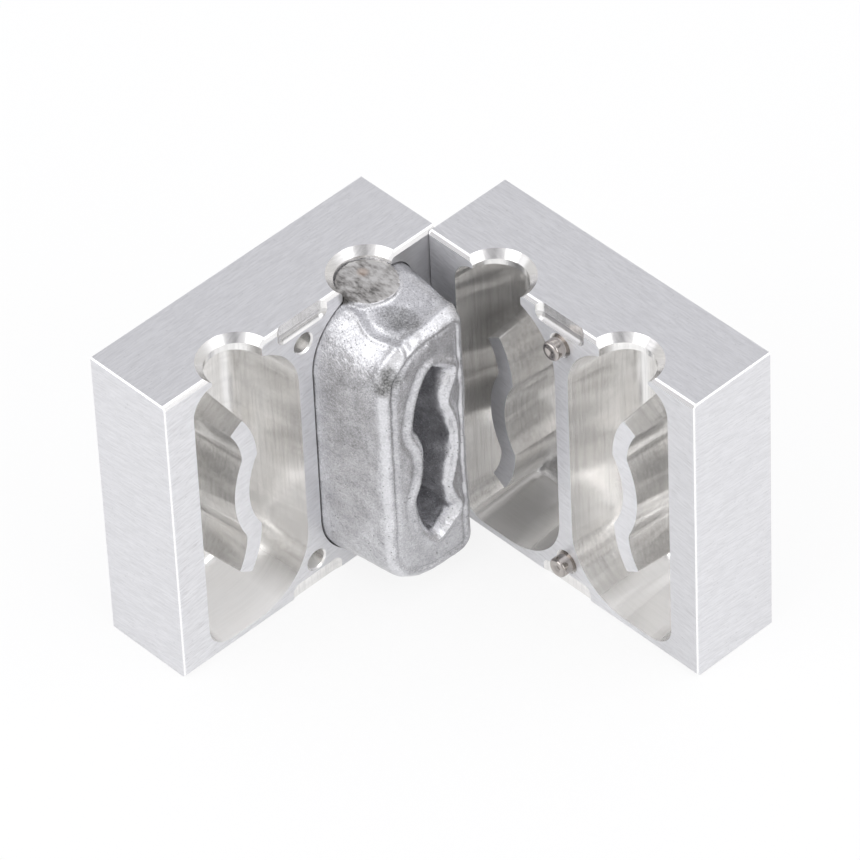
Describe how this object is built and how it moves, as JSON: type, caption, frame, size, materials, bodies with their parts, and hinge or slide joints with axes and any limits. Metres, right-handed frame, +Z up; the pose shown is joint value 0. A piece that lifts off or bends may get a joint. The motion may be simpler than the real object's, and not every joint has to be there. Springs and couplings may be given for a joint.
{
  "type": "fishing sinker mould",
  "caption": "Two-part milled aluminium mould for belt sinkers, standing open at a right angle, with one lead sinker left in a cavity.",
  "frame": {"origin": "middle of the footprint of the two halves, on the surface they stand on", "axes": "+Z up; +X along the right half's parting face, away from the left half; +Y along the left half's parting face, towards the right half"},
  "size_m": [0.1292, 0.126, 0.1008],
  "materials": {
    "milled_aluminium": "milled and lightly brushed",
    "dowel_steel": "ground",
    "cast_lead": "as cast"
  },
  "bodies": {
    "root": {"left_mould_half": "milled_aluminium", "right_mould_half": "milled_aluminium", "upper_dowel_pin": "dowel_steel", "lower_dowel_pin": "dowel_steel", "cast_sinker": "cast_lead"}
  },
  "joints": []
}
